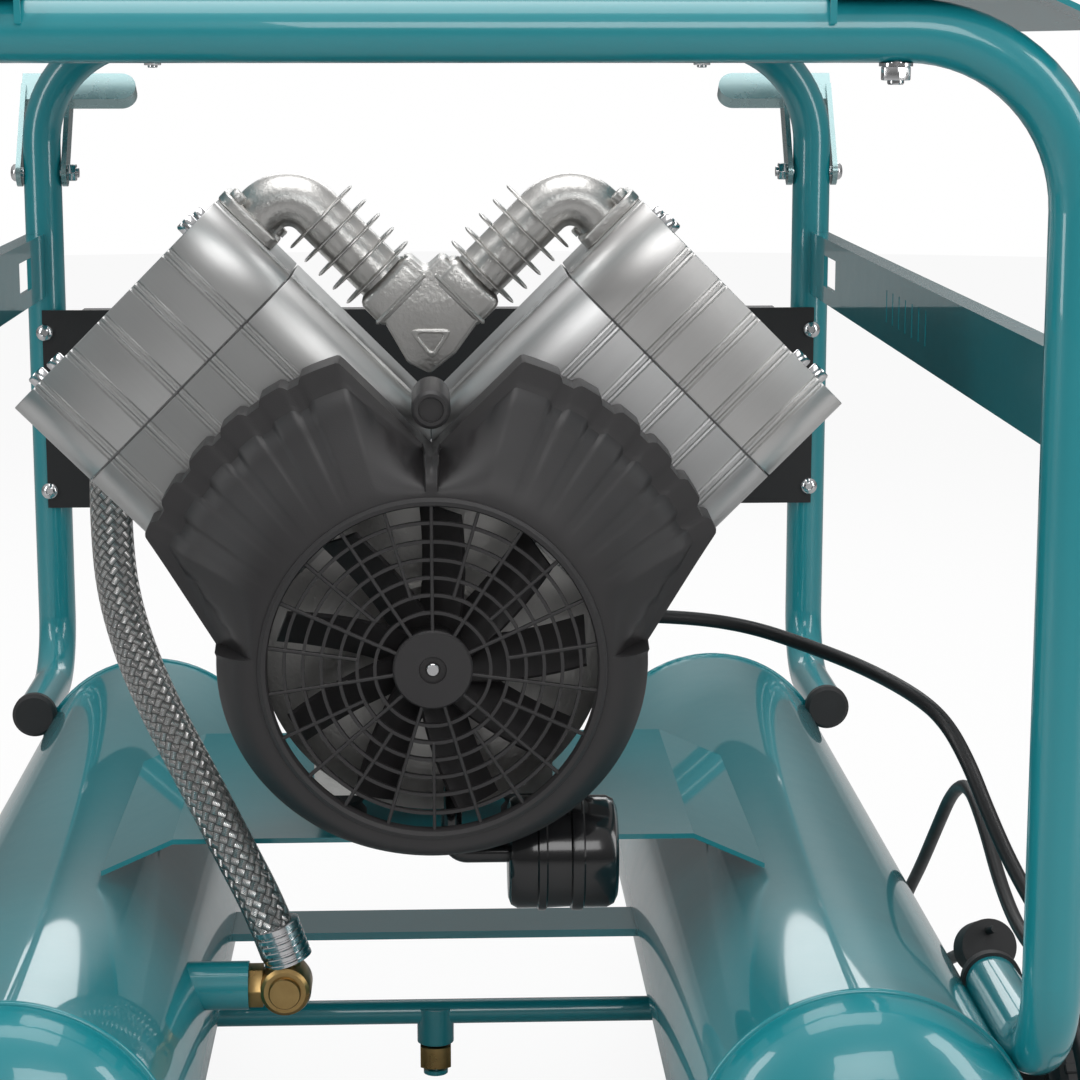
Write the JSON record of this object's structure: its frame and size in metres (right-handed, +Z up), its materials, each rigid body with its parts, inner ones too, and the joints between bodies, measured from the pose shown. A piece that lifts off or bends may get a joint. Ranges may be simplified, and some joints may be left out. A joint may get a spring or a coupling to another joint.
{
  "type": "air compressor",
  "caption": "Portable twin-tank air compressor: V-twin piston pump with a fan guard and motor on a platform between two tanks, in a tube roll cage with wheels.",
  "frame": {"origin": "on the ground, under the middle of the machine's box without its cord", "axes": "+X towards the machine's right as seen from its fan end, +Y from the fan end to the control panel, +Z up"},
  "size_m": [0.795, 0.9923, 0.7695],
  "materials": {
    "teal_paint": "gloss",
    "black_paint": "satin",
    "plain_steel": "satin",
    "zinc_steel": "bright",
    "cast_aluminium": "satin",
    "grey_plastic": "fine grain",
    "black_plastic": "fine grain",
    "gloss_plastic": "gloss",
    "red_plastic": "gloss",
    "rubber": "matt",
    "tyre_rubber": "matt",
    "brass": "satin",
    "braid": "woven",
    "cord_sheath": "satin"
  },
  "bodies": {
    "frame": {"air_filter": "gloss_plastic", "bearings": "plain_steel", "bolts": "zinc_steel", "braided_hose": "braid", "check_valve": "brass", "crankcase": "cast_aluminium", "cylinder_left": "cast_aluminium", "cylinder_right": "cast_aluminium", "fan_shroud": "grey_plastic", "front_hoop": "teal_paint", "gauges": "zinc_steel", "ground_brackets": "teal_paint", "head_left": "cast_aluminium", "head_right": "cast_aluminium", "hoop_caps": "rubber", "hose_fittings": "brass", "manifold_junction": "cast_aluminium", "manifold_left": "cast_aluminium", "manifold_right": "cast_aluminium", "motor_cover": "black_paint", "motor_housing": "cast_aluminium", "outlet_couplings": "brass", "plug": "rubber", "power_cord": "cord_sheath", "pressure_switch": "black_plastic", "pump_mounts": "rubber", "pump_platform": "teal_paint", "rear_feet": "rubber", "rear_hoop": "teal_paint", "rear_panel": "black_paint", "regulator": "black_plastic", "safety_valve": "brass", "side_rail_left": "teal_paint", "side_rail_right": "teal_paint", "stator": "plain_steel", "tank_crossbar": "teal_paint", "tank_left": "teal_paint", "tank_link_pipe": "teal_paint", "tank_right": "teal_paint", "terminal_box": "grey_plastic", "top_rails": "teal_paint", "valve_plates": "plain_steel", "wheel_axles": "zinc_steel"},
    "crank": {"crankshaft": "plain_steel", "rotor": "plain_steel", "fan": "black_plastic"},
    "piston_right": {"piston_right": "cast_aluminium"},
    "piston_left": {"piston_left": "cast_aluminium"},
    "wheel_right": {"rim_right": "black_paint", "tyre_right": "tyre_rubber"},
    "wheel_left": {"rim_left": "black_paint", "tyre_left": "tyre_rubber"},
    "handle_right": {"handle_right": "cast_aluminium"},
    "handle_left": {"handle_left": "cast_aluminium"},
    "switch_knob": {"switch_knob": "red_plastic"},
    "regulator_knob": {"regulator_knob": "black_plastic"},
    "needle_tank": {"needle_tank": "red_plastic"},
    "needle_outlet": {"needle_outlet": "red_plastic"},
    "drain_tap": {"drain_tap": "brass"},
    "safety_ring": {"safety_ring": "zinc_steel"}
  },
  "joints": [
    {"name": "crank_spin", "type": "hinge", "parent": "frame", "child": "crank", "pos_m": [0, -0.2315, 0.412], "axis": [0, 1, 0], "continuous": true},
    {"name": "piston_right_slide", "type": "slide", "parent": "frame", "child": "piston_right", "axis": [0.7071, 0, 0.7071], "range_m": [-0.01, 0.01]},
    {"name": "piston_left_slide", "type": "slide", "parent": "frame", "child": "piston_left", "axis": [-0.7071, 0, 0.7071], "range_m": [-0.01, 0.01]},
    {"name": "wheel_right_spin", "type": "hinge", "parent": "frame", "child": "wheel_right", "pos_m": [0.3725, -0.2615, 0.1], "axis": [1, 0, 0], "continuous": true},
    {"name": "wheel_left_spin", "type": "hinge", "parent": "frame", "child": "wheel_left", "pos_m": [-0.3725, -0.2615, 0.1], "axis": [1, 0, 0], "continuous": true},
    {"name": "handle_right_swing", "type": "hinge", "parent": "frame", "child": "handle_right", "pos_m": [0.31007, 0.4365, 0.639], "axis": [-1, 0, 0], "range_deg": [-10, 55]},
    {"name": "handle_left_swing", "type": "hinge", "parent": "frame", "child": "handle_left", "pos_m": [-0.31007, 0.4365, 0.639], "axis": [-1, 0, 0], "range_deg": [-10, 55]},
    {"name": "switch_turn", "type": "hinge", "parent": "frame", "child": "switch_knob", "pos_m": [-0.19, 0.477, 0.437], "axis": [0, 1, 0], "range_deg": [0, 90]},
    {"name": "regulator_turn", "type": "hinge", "parent": "frame", "child": "regulator_knob", "pos_m": [0.06, 0.454, 0.437], "axis": [0, 1, 0], "range_deg": [-180, 180]},
    {"name": "tank_needle_turn", "type": "hinge", "parent": "frame", "child": "needle_tank", "pos_m": [-0.04, 0.442, 0.475], "axis": [0, 1, 0], "range_deg": [-135, 135]},
    {"name": "outlet_needle_turn", "type": "hinge", "parent": "frame", "child": "needle_outlet", "pos_m": [0.13, 0.442, 0.475], "axis": [0, 1, 0], "range_deg": [-135, 135]},
    {"name": "drain_turn", "type": "hinge", "parent": "frame", "child": "drain_tap", "pos_m": [0, -0.0685, 0.087], "axis": [0, 0, 1], "range_deg": [0, 180]},
    {"name": "safety_pull", "type": "slide", "parent": "frame", "child": "safety_ring", "axis": [0, 1, 0], "range_m": [0, 0.004], "stiffness_N_per_m": 800}
  ]
}
